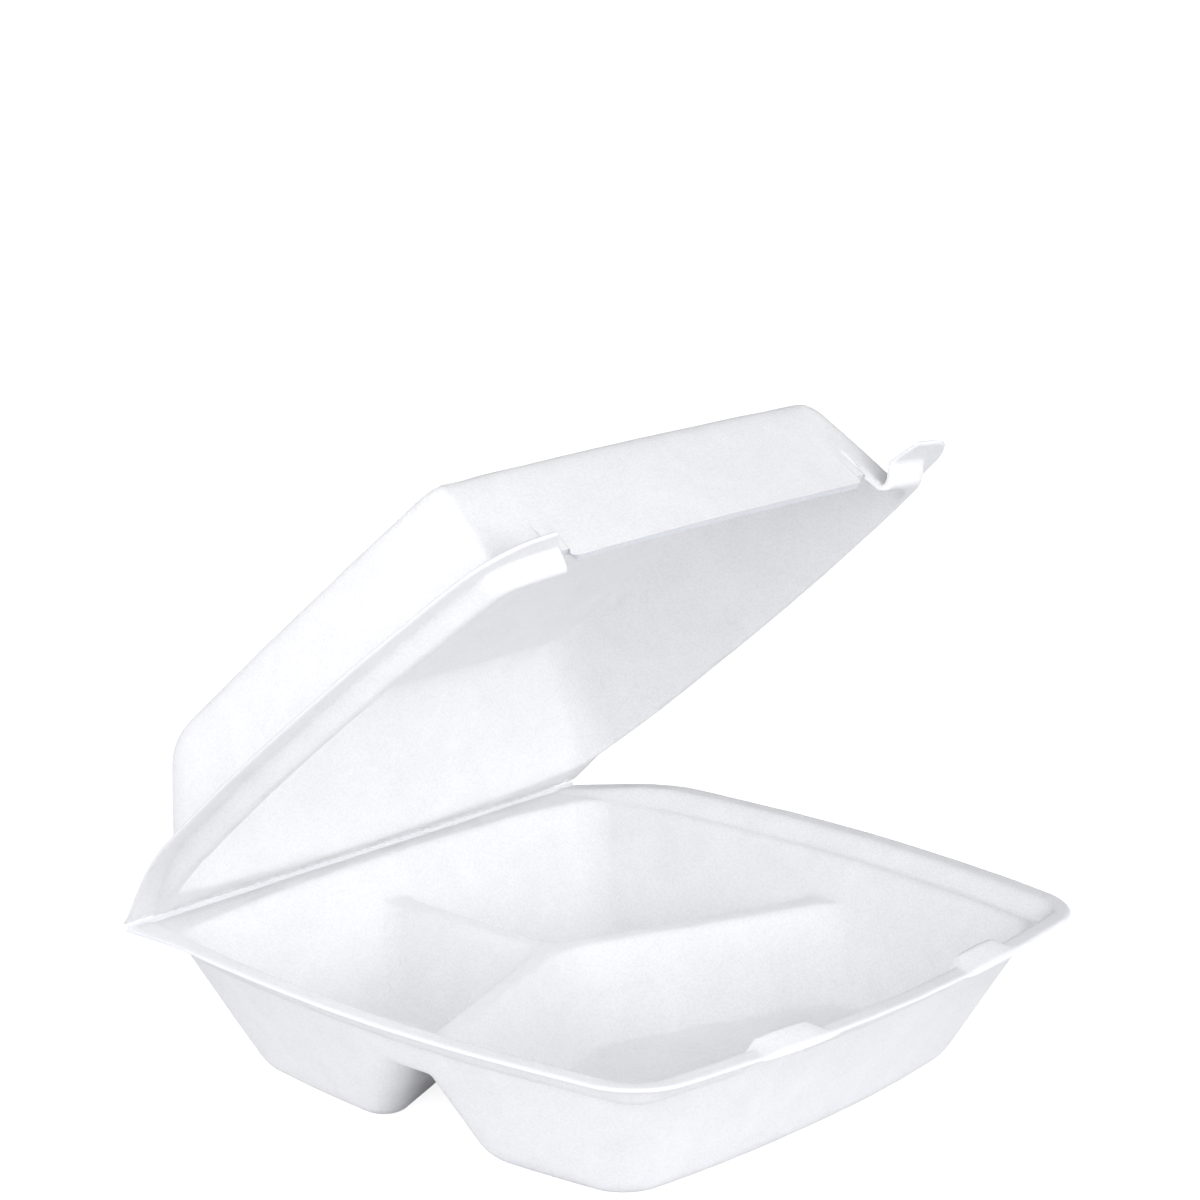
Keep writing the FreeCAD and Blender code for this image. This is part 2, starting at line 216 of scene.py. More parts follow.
def rim_inset(x, y, edge=FRONT_Y):
    """Distance inwards from the rim edge, with the run-in to the crease at both ends of the hinge."""
    a = front_inset(x, y, edge=edge)
    b = side_inset(x, y)
    corner = RIM_CORNER - np.hypot(np.maximum(RIM_CORNER - a, 0), np.maximum(RIM_CORNER - b, 0))
    parallel = np.where((a < RIM_CORNER) & (b < RIM_CORNER), corner, np.minimum(a, b))
    inset = np.minimum(parallel, round_min(a, b, STEP_CORNER))
    full = HALF_WIDTH - SIDE_BOW + math.sqrt(SIDE_BOW ** 2 - (TAPER_Y - SIDE_BOW_Y) ** 2)
    run_in = full + (CREASE_HALF - full) * (y - TAPER_Y) / (FLANGE_Y - TAPER_Y)
    return round_min(inset, run_in - np.abs(x), 2.5)


def lip_height(y, lip, ledge):
    """The lip runs down to the ledge along the run-in."""
    fall = (lip - ledge - 0.2) * (y - TAPER_Y) / (FLANGE_Y - TAPER_Y)
    return round_min(lip + 0 * y, lip - fall, 2.0)


def rim_height(x, y, lip, ledge, foot, shell, up):
    """Lip, slanted step and ledge; shell 1 gives the far side of the sheet, above where up is 1."""
    t = rim_inset(x, y)
    over = up * shell
    step = ledge + (foot - t) / RISER_DRAFT + over * thick(1 / RISER_DRAFT)
    top = lip_height(y, lip, ledge) + over * LIP_SHEET
    convex = 0.5 + (1.3 if up * (2 * shell - 1) > 0 else 0.0)
    concave = 2.3 - convex
    raised = round_min(top, step, convex)
    return round_max(raised, ledge + over * SHEET, concave)


def pocket_height(x, y, shell):
    """Compartment walls and dividers, without the floor."""
    a = front_inset(x, y) - WALL_TOP
    b = side_inset(x, y) - WALL_TOP
    c = hinge_inset(x, y, HINGE_WALL_TOP) * WALL_DRAFT / HINGE_DRAFT
    drop = thick(1 / WALL_DRAFT) * shell
    rough = LEDGE_Z - np.minimum(np.minimum(a, b), c) / WALL_DRAFT
    share = np.clip((rough - DIVIDER_Z) / (LEDGE_Z - DIVIDER_Z), 0, 1)
    corner = POCKET_CORNER + (WALL_CORNER - POCKET_CORNER) * share + shell * SHEET
    inset = round_min(round_min(a, c, corner), b, corner)
    wall = LEDGE_Z - inset / WALL_DRAFT - drop
    across = (y - JUNCTION_Y) * math.cos(ARM_ANGLE)
    right = across + x * math.sin(ARM_ANGLE)
    left = across - x * math.sin(ARM_ANGLE)
    plan = POCKET_CORNER + shell * SHEET
    front = round_min(-right, -left, plan)
    back = round_min(np.abs(x), np.maximum(right, left), plan)
    reach = np.maximum(front, back)
    arm = DIVIDER_Z - (reach - DIVIDER_HALF) / DIVIDER_DRAFT - thick(1 / DIVIDER_DRAFT) * shell
    deep = round_max(wall, arm, plan / DIVIDER_DRAFT)
    crest = round_max(wall, DIVIDER_Z - SHEET * shell + 0 * x, 2.4 + shell)
    return round_min(deep, crest, 2.4 - 1.6 * shell)


def lug_inset(x, y):
    """Distance inwards from the plan outline of the nearer latch lug, negative outside."""
    u = np.abs(x) - LUG_X
    v = y - FRONT_Y - LUG_X * LUG_X / (2 * FRONT_BOW) - u * LUG_X / FRONT_BOW
    side = (LUG_HALF - np.abs(u)) * math.cos(LUG_ANGLE) - v * math.sin(LUG_ANGLE)
    return round_min(side, LUG_REACH - v, LUG_CORNER)


def tray_height(x, y, shell):
    t = rim_inset(x, y)
    arch = np.sqrt(np.clip(1 - ((np.abs(x) - LUG_X) / LUG_HALF) ** 2, 0, 1))
    near_front = arch * (y < 0)
    dip = LUG_DIP * near_front * np.clip(1 - t / LUG_DIP_REACH, 0, 1)
    rim = rim_height(x, y, LIP_Z, LEDGE_Z, RISER_FOOT, shell, -1) - dip
    pocket = round_max(pocket_height(x, y, shell), SHEET * (1 - shell) + 0 * x, 3.0 + 2 * shell)
    start = LIP_Z - LUG_START
    face = start + LUG_RISE * near_front * t / LUG_CREST - thick(LUG_SLOPE) * shell
    side = start + lug_inset(x, y) / LUG_DRAFT - thick(LUG_SLOPE) * shell
    back = start + (LUG_BACK - t) * LUG_BACK_SLOPE - thick(LUG_BACK_SLOPE) * shell
    rim = round_max(rim, round_min(round_min(face, side, LUG_ROUND), back, LUG_ROUND), 0.5)
    return round_min(rim, pocket, 2.4 - 1.8 * shell)


def lid_wall(foot, top):
    """Height on a dome wall between its foot and top outlines, given the insets from both."""
    return LID_LEDGE_Z + (LID_TOP_Z - LID_LEDGE_Z) * foot / np.maximum(foot - top, 1.0)


def lid_height(x, y, shell):
    rise = LID_TOP_Z - LID_LEDGE_Z
    steep = rise / (LID_WALL_TOP - LID_WALL_FOOT)
    easy = rise / (LID_HINGE_TOP - LID_HINGE_FOOT)
    front = lid_wall(front_inset(x, y) - LID_WALL_FOOT, front_inset(x, y, LID_BOW) - LID_WALL_TOP)
    side = lid_wall(side_inset(x, y) - LID_WALL_FOOT, side_inset(x + LID_LEAN, y, LID_BOW) - LID_WALL_TOP)
    back = lid_wall(hinge_inset(x, y, CREASE_Y - LID_HINGE_FOOT, SIDE_BOW),
                    hinge_inset(x, y, CREASE_Y - LID_HINGE_TOP, LID_BOW))
    front = front + thick(steep) * shell
    side = side + thick(steep) * shell
    back = back + thick(easy) * shell
    corner = np.where(x > 0, RIGHT_CORNER, LEFT_CORNER) + SHEET * shell
    back_corner = (LID_BACK_CORNER + SHEET * shell) * (steep + easy) / 2
    dome = round_min(round_min(front, side, corner * steep), back, back_corner)
    dome = round_min(dome, LID_TOP_Z + SHEET * shell + 0 * x, 4.0 + 2 * shell)
    rim = rim_height(x, y, LID_LIP_Z, LID_LEDGE_Z, RISER_FOOT + LID_FIT, shell, 1)
    in_gap = (np.abs(x) < LATCH_HALF) & (y < 0)
    rim = np.where(in_gap, LID_LEDGE_Z - 20.0, rim)
    return round_max(rim, dome, 2.4 - 1.6 * shell)


def on_ray(angle, inset, edge):
    """Point at a given inset from the rim edge in the direction angle, by bisection; arrays allowed."""
    low = np.zeros_like(angle)
    high = np.full_like(angle, FAR_REACH)
    for _ in range(BISECTIONS):
        middle = (low + high) / 2
        inside = rim_inset(middle * np.cos(angle), middle * np.sin(angle), edge) > inset
        low = np.where(inside, middle, low)
        high = np.where(inside, high, middle)
    return np.column_stack([low * np.cos(angle), low * np.sin(angle)])


def hinge_angles():
    """Directions of the two ends of the crease, seen from the origin, the right one first."""
    right = math.atan2(FLANGE_Y, CREASE_HALF)
    return right, math.pi - right - 2 * math.pi


def densified(points, step):
    """Open or closed row of points with no gap longer than step."""
    out = []
    for a, b in zip(points[:-1], points[1:]):
        count = max(1, int(math.ceil(np.hypot(*(b - a)) / step)))
        out.extend(a + (b - a) * i / count for i in range(count))
    out.append(points[-1])
    return np.array(out)


def softened(points, first, last, rounds=1):
    """Corner cutting on the run of points between two indices."""
    run = points[first:last]
    for _ in range(rounds):
        run = np.vstack([run[:1], (run[:-2] + 2 * run[1:-1] + run[2:]) / 4, run[-1:]])
    return np.vstack([points[:first], run, points[last:]])


def rim_loop(edge, count, notch=()):
    """Closed boundary, clockwise from the right end of the crease; notch lists (x, inset) knots."""
    start, end = hinge_angles()
    angles = np.linspace(start, end, count)
    points = on_ray(angles, np.zeros(count), edge)
    if notch:
        knot_angles = []
        for x, inset in notch:
            y = FRONT_Y + inset + x * x / (2 * FRONT_BOW)
            knot_angles.append(math.atan2(y, x))
        insets = np.array([inset for _, inset in notch])
        before = angles > knot_angles[0]
        after = angles < knot_angles[-1]
        lengths = [0.0]
        for i in range(1, len(notch)):
            step = abs(knot_angles[i] - knot_angles[i - 1]) * NOTCH_RADIUS + abs(insets[i] - insets[i - 1])
            lengths.append(lengths[-1] + step)
        along = np.linspace(0, lengths[-1], int(lengths[-1] / NOTCH_STEP))
        gap_angles = np.interp(along, lengths, knot_angles)
        gap_insets = np.interp(along, lengths, insets)
        gap = on_ray(gap_angles, gap_insets, FRONT_Y)
        outer = on_ray(gap_angles, gap_insets, edge)
        blend = np.clip(1 - gap_insets / LID_WALL_FOOT, 0, 1)[:, None]
        gap = gap * (1 - blend) + outer * blend
        first = int(before.sum())
        points = np.vstack([points[before], gap, points[after]])
        points = softened(points, first - 2, first + len(gap) + 2)
    crease = densified(np.array([points[-1], points[0]]), CREASE_STEP)[1:-1]
    return np.vstack([points, crease])


def inside(points, loop, margin):
    """Which points lie inside a closed loop, at least margin from its corners."""
    x = points[:, 0]
    y = points[:, 1]
    odd = np.zeros(len(points), bool)
    near = np.full(len(points), 1e9)
    previous = loop[-1]
    for corner in loop:
        crosses = (corner[1] > y) != (previous[1] > y)
        span = previous[1] - corner[1]
        span = span if abs(span) > 1e-12 else 1e-12
        odd ^= crosses & (x < (previous[0] - corner[0]) * (y - corner[1]) / span + corner[0])
        near = np.minimum(near, (x - corner[0]) ** 2 + (y - corner[1]) ** 2)
        previous = corner
    return odd & (near > margin * margin)


def detail_points(height, fine, coarse):
    """Staggered grid, kept in full where either face of the sheet bends and thinned elsewhere."""
    rows = int(GRID_DEPTH / (fine * ROW_SPACING))
    cols = int(2 * GRID_X / fine)
    j, i = np.meshgrid(np.arange(rows), np.arange(cols), indexing="ij")
    x = -GRID_X + (i + 0.5 * (j % 2)) * fine
    y = -GRID_Y + j * fine * ROW_SPACING
    bend = np.zeros_like(x)
    h = fine * 0.8
    for shell in (0, 1):
        centre = height(x, y, shell)
        for dx, dy in ((h, 0), (0, h), (h * 0.7, h * 0.7), (h * 0.7, -h * 0.7)):
            ahead = height(x + dx, y + dy, shell)
            second = ahead + height(x - dx, y - dy, shell) - 2 * centre
            bend = np.maximum(bend, np.abs(second) / (1 + ((ahead - centre) / h) ** 2))
    ratio = int(round(coarse / fine))
    keep = (bend > BEND_LIMIT) | ((i % ratio == 0) & (j % ratio == 0))
    return np.column_stack([x[keep], y[keep]])


def sheet_points(height, loop, edge, fine, coarse):
    """Rows of points along the rim and a grid inside it."""
    start, end = hinge_angles()
    rings = []
    angles = np.linspace(start + 0.05, end - 0.05, RING_COUNT)
    for inset in np.arange(RING_FIRST, RING_LAST, RING_STEP):
        rings.append(on_ray(angles, np.full(RING_COUNT, inset), edge))
    ring_points = np.vstack(rings)
    ring_points = ring_points[ring_points[:, 1] < FLANGE_Y - FLANGE_MARGIN]
    grid = detail_points(height, fine, coarse)
    t = rim_inset(grid[:, 0], grid[:, 1], edge)
    grid = grid[(t > GRID_INSET) & (grid[:, 1] < FLANGE_Y - FLANGE_MARGIN)]
    points = np.vstack([ring_points, grid])
    return points[inside(points, loop, LOOP_MARGIN)]


def triangulated(loop, points, holes=()):
    """Triangles of the region inside loop, less the holes; returns plan points and triangles."""
    plan = [Vector(p) for p in loop]
    edges = [(i, (i + 1) % len(loop)) for i in range(len(loop))]
    for hole in holes:
        first = len(plan)
        plan.extend(Vector(p) for p in hole)
        edges.extend((first + i, first + (i + 1) % len(hole)) for i in range(len(hole)))
    plan.extend(Vector(p) for p in points)
    out = geometry.delaunay_2d_cdt(plan, edges, [], 1, 1e-5)
    flat = np.array([(v.x, v.y) for v in out[0]])
    faces = np.array(out[2])
    middle = flat[faces].mean(axis=1)
    keep = np.ones(len(faces), bool)
    for hole in holes:
        low = hole.min(axis=0)
        high = hole.max(axis=0)
        keep &= ~((middle > low) & (middle < high)).all(axis=1)
    return flat, faces[keep]


def wander(points, size, seed):
    """Slow unevenness of the formed sheet."""
    return np.array([noise.noise(Vector((p[0] / size + seed, p[1] / size, seed))) for p in points])


def boundary(faces):
    """Directed edges that belong to one triangle only."""
    edges = {}
    for a, b, c in faces:
        for pair in ((a, b), (b, c), (c, a)):
            edges[pair] = True
    return [pair for pair in edges if (pair[1], pair[0]) not in edges]


def edge_sides(rim, flat):
    """Outward direction at every point of the cut edges."""
    outward = {}
    for a, b in rim:
        step = flat[b] - flat[a]
        side = np.array([step[1], -step[0]]) / max(np.hypot(*step), 1e-9)
        for v in (a, b):
            outward[v] = outward.get(v, 0) + side
    return {v: side / max(np.hypot(*side), 1e-9) for v, side in outward.items()}


def mark_cut(mesh, rim, before, on_edge, shift, count):
    """Second material on the strip of the knife cut, a grey partly made of painted shade, and sharp lines
    along both sides of it.
    """
    cut = [0] * before
    for a, b in rim:
        cut.extend([int(shift[a] > 0 and shift[b] > 0)] * 2)
    mesh.polygons.foreach_set("material_index", cut)
    crisp = {v + side for v in on_edge if shift[v] > 0 for side in (0, count)}
    for line in mesh.edges:
        line.use_edge_sharp = line.vertices[0] in crisp and line.vertices[1] in crisp


def sheet_mesh(name, height, flat, faces, up, seed, shift=None):
    """Two faces of the sheet joined by a strip along every cut edge. The edge is rounded, except where
    shift moves the far face outwards, down the slope of the dome wall."""
    sway = sum(depth * wander(flat, size, seed + step) for depth, size, step in SWAY)
    x = flat[:, 0]
    y = flat[:, 1]
    near = np.column_stack([flat, height(x, y, 0) + sway])
    far = np.column_stack([flat, height(x, y, 1) + sway])
    count = len(flat)
    rim = boundary(faces)
    on_edge = {}
    middle = []
    for v, side in edge_sides(rim, flat).items():
        on_edge[v] = 2 * count + len(middle)
        centre = (near[v] + far[v]) / 2
        if shift is not None and shift[v] > 0:
            far[v, :2] += side * shift[v]
            far[v, 2] -= shift[v] / SHIFT_SLOPE
            middle.append((near[v] + far[v]) / 2)
            continue
        middle.append(centre)
        for face in (near, far):
            face[v, :2] -= side * EDGE_PINCH
            face[v, 2] += (centre[2] - face[v, 2]) * EDGE_ROUND
    points = np.vstack([near, far, np.array(middle)])
    low, high = (faces, faces + count)
    shells = [low[:, ::-1], high] if up > 0 else [low, high[:, ::-1]]
    triangles = np.vstack(shells).tolist()
    quads = []
    for a, b in rim:
        strip = [(a, on_edge[a], on_edge[b], b), (on_edge[a], a + count, b + count, on_edge[b])]
        quads.extend(strip if up < 0 else [face[::-1] for face in strip])
    mesh = bpy.data.meshes.new(name)
    mesh.from_pydata((points * MM).tolist(), [], triangles + quads)
    mesh.update()
    mesh.polygons.foreach_set("use_smooth", [True] * len(mesh.polygons))
    if shift is not None:
        mark_cut(mesh, rim, len(triangles), on_edge, shift, count)
    return mesh


def pressed(mesh, amount):
    """Per-point measure of how hard the sheet was pressed: 1 at the cut rim and the crease."""
    layer = mesh.attributes.new("pressed", "FLOAT", "POINT")
    layer.data.foreach_set("value", amount.astype(np.float32))


def pressed_amount(mesh, edge):
    count = len(mesh.vertices)
    co = np.empty(count * 3, np.float32)
    mesh.vertices.foreach_get("co", co)
    co = co.reshape(-1, 3) / MM
    t = rim_inset(co[:, 0], co[:, 1], edge)
    rim = np.clip(1 - t / 2.2, 0, 1)
    crease = np.clip(1 - (FLANGE_Y - co[:, 1]) / 2.5, 0, 1)
    return np.maximum(rim, crease)


def new_piece(name, mesh, material, body):
    piece = bpy.data.objects.new(name, mesh)
    bpy.context.scene.collection.objects.link(piece)
    mesh.materials.append(material)
    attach(piece, body)
    return piece


def slit_holes():
    holes = []
    first = -(SLIT_COUNT - 1) / 2 * SLIT_PITCH
    y = CREASE_Y - SLIT_FROM_CREASE
    a = SLIT_LENGTH / 2
    b = SLIT_WIDTH / 2
    for i in range(SLIT_COUNT):
        x = first + i * SLIT_PITCH
        holes.append(np.array([(x - a, y - b), (x, y - b), (x + a, y - b),
                               (x + a, y + b), (x, y + b), (x - a, y + b)]))
    return holes


def build_tray(settings, material):
    loop = rim_loop(FRONT_Y, RIM_COUNT)
    points = sheet_points(tray_height, loop, FRONT_Y, settings.fine, settings.coarse)
    flat, faces = triangulated(loop, points)
    mesh = sheet_mesh("foam_tray", tray_height, flat, faces, -1, 3.7)
    pressed(mesh, pressed_amount(mesh, FRONT_Y))
    piece = new_piece("foam_tray", mesh, material, "tray")
    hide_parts("tray")


def latch_notch():
    """Knots of the gap in the lid's front lip and of the cut edge inside it, from right to left."""
    foot = LID_WALL_FOOT
    half = [(LATCH_HALF + LATCH_FLARE, 0.0), (LATCH_HALF + 1.5, foot - 3.0), (LATCH_HALF, foot + 1.8),
            (STRIP_HALF, foot + 1.8), (STRIP_HALF - 0.4, foot + 1.0)]
    right = [(LATCH_HALF + 7.0, 0.0), (LATCH_HALF + 4.5, foot - 3.0)] + half[2:]
    return right + [(-x, inset) for x, inset in reversed(half)]


def skin_shift(points):
    """How far the outer face of the lid runs past the inner one at the cut edge of the dome foot."""
    at_edge = (np.abs(points[:, 0]) < LATCH_HALF) & (points[:, 1] < 0)
    return np.where(at_edge, SHEET * SKIN_LAP, 0.0)


def build_lid(settings, material):
    loop = rim_loop(LID_FRONT_Y, RIM_COUNT, latch_notch())
    points = sheet_points(lid_height, loop, LID_FRONT_Y, settings.fine, settings.coarse)
    holes = slit_holes()
    slit_y = CREASE_Y - SLIT_FROM_CREASE
    row = np.abs(points[:, 1] - slit_y) < SLIT_WIDTH / 2 + SLIT_MARGIN
    inner = np.abs(points[:, 0]) < SLIT_COUNT * SLIT_PITCH / 2
    points = points[~(row & inner)]
    flat, faces = triangulated(loop, points, holes)
    mesh = sheet_mesh("foam_lid", lid_height, flat, faces, 1, 11.3, skin_shift(flat))
    pressed(mesh, pressed_amount(mesh, LID_FRONT_Y))
    pivot = Vector((0, CREASE_Y, AXIS_Z)) * MM
    turn = Matrix.Translation(pivot) @ Matrix.Rotation(-OPEN_ANGLE, 4, "X") @ Matrix.Translation(-pivot)
    mesh.transform(turn)
    piece = new_piece("foam_lid", mesh, material, "lid")
    # Second material for the cut strip: grey foam, partly painted shade along the dome foot
    mesh.materials.append(cut_foam_and_shade_material())
    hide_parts("lid")


def build_crease(settings, material):
    """Thin web of pressed foam that joins the two flanges, built bent to the lid's open angle."""
    half = CREASE_HALF - CREASE_SHORT
    reach = CREASE_REACH
    drop = CREASE_DROP
    web = settings.web / 2
    rows = []
    for s in np.linspace(-1, 1, 9):
        if s <= 0:
            y, z, ny, nz = CREASE_Y + s * reach, AXIS_Z - drop * abs(s), 0.0, 1.0
        else:
            y = CREASE_Y - s * reach * math.cos(OPEN_ANGLE) + s * drop * math.sin(OPEN_ANGLE)
            z = AXIS_Z + s * reach * math.sin(OPEN_ANGLE) + s * drop * math.cos(OPEN_ANGLE)
            ny, nz = math.sin(OPEN_ANGLE), math.cos(OPEN_ANGLE)
        rows.append((y, z, ny, nz))
    profile = [(y + ny * web, z + nz * web) for y, z, ny, nz in rows]
    profile += [(y - ny * web, z - nz * web) for y, z, ny, nz in reversed(rows)]
    columns = CREASE_COLUMNS
    points = []
    for i in range(columns + 1):
        x = -half + 2 * half * i / columns
        points.extend((x * MM, y * MM, z * MM) for y, z in profile)
    n = len(profile)
    faces = []
    for i in range(columns):
        for j in range(n):
            k = (j + 1) % n
            faces.append((i * n + j, i * n + k, (i + 1) * n + k, (i + 1) * n + j))
    faces.append(tuple(range(n)))
    faces.append(tuple(columns * n + j for j in reversed(range(n))))
    mesh = bpy.data.meshes.new("foam_crease")
    mesh.from_pydata(points, [], faces)
    mesh.update()
    pressed(mesh, np.ones(len(points)))
    piece = bpy.data.objects.new("foam_crease", mesh)
    bpy.context.scene.collection.objects.link(piece)
    mesh.materials.append(material)
    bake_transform(piece)


def linear(code):
    """Linear colour of an sRGB hex code."""
    parts = [int(code[i:i + 2], 16) / 255 for i in (1, 3, 5)]
    return tuple(c / 12.92 if c <= 0.04045 else ((c + 0.055) / 1.055) ** 2.4 for c in parts) + (1.0,)


def add_node(tree, kind, links=(), **settings):
    """Node with settings; numbered or named inputs come as in_NAME, links as (socket, source)."""
    node = tree.nodes.new(kind)
    for key, value in settings.items():
        if key.startswith("in_"):
            node.inputs[key[3:].replace("_", " ")].default_value = value
        else:
            setattr(node, key, value)
    for socket, source in links:
        tree.links.new(node.inputs[socket], source)
    return node


def new_material(name):
    material = bpy.data.materials.new(name)
    material.use_nodes = True
    material.node_tree.nodes.clear()
    return material, material.node_tree


def foam_material(settings):
    """Thermoformed expanded polystyrene sheet: a satin skin over fine closed cells. It looks white and
    softly lit from within, with a fine pebbled grain, faint cloudy flow marks and a smoother, slightly
    denser look where the sheet was pressed at the cut rim and crease."""
    material, tree = new_material("expanded_polystyrene_sheet_thermoformed")
    place = add_node(tree, "ShaderNodeTexCoord").outputs["Object"]
    cells = add_node(tree, "ShaderNodeTexVoronoi", [("Vector", place)], feature="SMOOTH_F1",
                     in_Scale=1 / (settings.cell * MM), in_Smoothness=0.6, in_Randomness=1.0)
    grain = add_node(tree, "ShaderNodeTexNoise", [("Vector", place)], in_Scale=1 / (settings.grain * MM),
                     in_Detail=3.0, in_Roughness=0.6)
    cloud = add_node(tree, "ShaderNodeTexNoise", [("Vector", place)], in_Scale=55.0, in_Detail=4.0,
                     in_Roughness=0.55, in_Distortion=0.6)
    press = add_node(tree, "ShaderNodeAttribute", attribute_name="pressed")
    cell_shade = add_node(tree, "ShaderNodeMapRange", [("Value", cells.outputs["Distance"])])
    cell_shade.inputs["From Min"].default_value = 0.1
    cell_shade.inputs["From Max"].default_value = 0.75
    tint = add_node(tree, "ShaderNodeValToRGB", [("Fac", cell_shade.outputs["Result"])])
    tint.color_ramp.elements[0].color = linear(settings.cell_top)
    tint.color_ramp.elements[1].color = linear(settings.cell_gap)
    clouds = add_node(tree, "ShaderNodeValToRGB", [("Fac", cloud.outputs["Fac"])])
    clouds.color_ramp.elements[0].position = 0.3
    clouds.color_ramp.elements[0].color = linear("#FAFAFA")
    clouds.color_ramp.elements[1].position = 0.72
    clouds.color_ramp.elements[1].color = linear("#FFFFFF")
    colour = add_node(tree, "ShaderNodeMix", data_type="RGBA", blend_type="MULTIPLY")
    colour.inputs["Factor"].default_value = 1.0
    tree.links.new(colour.inputs[6], tint.outputs["Color"])
    tree.links.new(colour.inputs[7], clouds.outputs["Color"])
    edge = add_node(tree, "ShaderNodeMix", data_type="RGBA")
    tree.links.new(edge.inputs["Factor"], press.outputs["Fac"])
    tree.links.new(edge.inputs[6], colour.outputs[2])
    edge.inputs[7].default_value = linear("#F6F6F8")
    rough = add_node(tree, "ShaderNodeMapRange", [("Value", cloud.outputs["Fac"])])
    rough.inputs["To Min"].default_value = 0.5
    rough.inputs["To Max"].default_value = 0.66
    height = add_node(tree, "ShaderNodeMath", [(0, grain.outputs["Fac"]), (1, cell_shade.outputs["Result"])],
                      operation="SUBTRACT")
    soft = add_node(tree, "ShaderNodeMath", [(0, press.outputs["Fac"])], operation="MULTIPLY_ADD")
    soft.inputs[1].default_value = -0.7
    soft.inputs[2].default_value = 1.0
    scaled = add_node(tree, "ShaderNodeMath", [(0, height.outputs[0]), (1, soft.outputs[0])],
                      operation="MULTIPLY")
    fine = add_node(tree, "ShaderNodeBump", [("Height", scaled.outputs[0])], in_Strength=settings.bump,
                    in_Distance=0.12 * MM)
    slow = add_node(tree, "ShaderNodeBump", [("Height", cloud.outputs["Fac"]), ("Normal", fine.outputs[0])],
                    in_Strength=0.35, in_Distance=0.5 * MM)
    shader = add_node(tree, "ShaderNodeBsdfPrincipled",
                      [("Base Color", edge.outputs[2]), ("Roughness", rough.outputs["Result"]),
                       ("Normal", slow.outputs[0])],
                      in_IOR=1.5, in_Specular_IOR_Level=0.35, in_Subsurface_Weight=0.12,
                      in_Subsurface_Scale=2.5 * MM, in_Sheen_Weight=0.08, in_Sheen_Roughness=0.4)
    shader.inputs["Subsurface Radius"].default_value = (1.0, 0.95, 0.9)
    add_node(tree, "ShaderNodeOutputMaterial", [("Surface", shader.outputs[0])])
    return material


def cut_foam_and_shade_material():
    """Knife-cut foam, grey: partly the opened cells, which take up light, and partly painted shade of the
    recess along the dome foot, so the cut reads as a thin grey line.
    """
    material, tree = new_material("expanded_polystyrene_knife_cut_painted_shade")
    place = add_node(tree, "ShaderNodeTexCoord").outputs["Object"]
    cells = add_node(tree, "ShaderNodeTexVoronoi", [("Vector", place)], in_Scale=1 / (0.5 * MM))
    # Grey ramp: the cell texture of the cut, darkened as painted shade of the recess at the dome foot
    shade = add_node(tree, "ShaderNodeValToRGB", [("Fac", cells.outputs["Distance"])])
    shade.color_ramp.elements[0].color = linear("#E4E5E8")
    shade.color_ramp.elements[1].color = linear("#D3D4D8")
    shader = add_node(tree, "ShaderNodeBsdfPrincipled", [("Base Color", shade.outputs["Color"])],
                      in_Roughness=0.85, in_Specular_IOR_Level=0.2)
    add_node(tree, "ShaderNodeOutputMaterial", [("Surface", shader.outputs[0])])
    return material


def floor_material(settings):
    """Painted studio floor, matt; the camera sees it white and lifted to the background while it keeps
    the shadow under the container, and the container gets the soft pale bounce of a real floor."""
    material, tree = new_material("matt_white_studio_floor")
    place = add_node(tree, "ShaderNodeTexCoord").outputs["Object"]
    mottle = add_node(tree, "ShaderNodeTexNoise", [("Vector", place)], in_Scale=3.0, in_Detail=2.0)
    shade = add_node(tree, "ShaderNodeValToRGB", [("Fac", mottle.outputs["Fac"])])
    shade.color_ramp.elements[0].color = linear("#F4F4F5")
    shade.color_ramp.elements[1].color = linear("#F7F7F8")
    shader = add_node(tree, "ShaderNodeBsdfPrincipled", [("Base Color", shade.outputs["Color"])],
                      in_Roughness=0.9, in_Specular_IOR_Level=0.1)
    bounce = add_node(tree, "ShaderNodeBsdfDiffuse", in_Color=linear("#DCDCDE"))
    glow = add_node(tree, "ShaderNodeEmission", in_Strength=settings.floor_glow)
    path = add_node(tree, "ShaderNodeLightPath")
    both = add_node(tree, "ShaderNodeAddShader", [(0, shader.outputs[0]), (1, glow.outputs[0])])
    seen = add_node(tree, "ShaderNodeMixShader",
                    [("Fac", path.outputs["Is Camera Ray"]), (1, bounce.outputs[0]), (2, both.outputs[0])])
    add_node(tree, "ShaderNodeOutputMaterial", [("Surface", seen.outputs[0])])
    return material


def area_lamp(name, place, target, size, power, colour):
    data = bpy.data.lights.new(name, "AREA")
    data.shape = "RECTANGLE"
    data.size = size[0]
    data.size_y = size[1]
    data.energy = power
    data.color = colour
    lamp = bpy.data.objects.new(name, data)
    bpy.context.scene.collection.objects.link(lamp)
    lamp.location = place
    lamp.rotation_euler = (Vector(target) - Vector(place)).to_track_quat("-Z", "Y").to_euler()


def build_world(settings):
    world = bpy.data.worlds.new("studio")
    bpy.context.scene.world = world
    world.use_nodes = True
    tree = world.node_tree
    tree.nodes.clear()
    soft = add_node(tree, "ShaderNodeBackground", in_Color=DAYLIGHT + (1.0,), in_Strength=settings.sky)
    white = add_node(tree, "ShaderNodeBackground", in_Color=(1.0, 1.0, 1.0, 1.0), in_Strength=1.0)
    path = add_node(tree, "ShaderNodeLightPath")
    seen = add_node(tree, "ShaderNodeMixShader",
                    [("Fac", path.outputs["Is Camera Ray"]), (1, soft.outputs[0]), (2, white.outputs[0])])
    add_node(tree, "ShaderNodeOutputWorld", [("Surface", seen.outputs[0])])


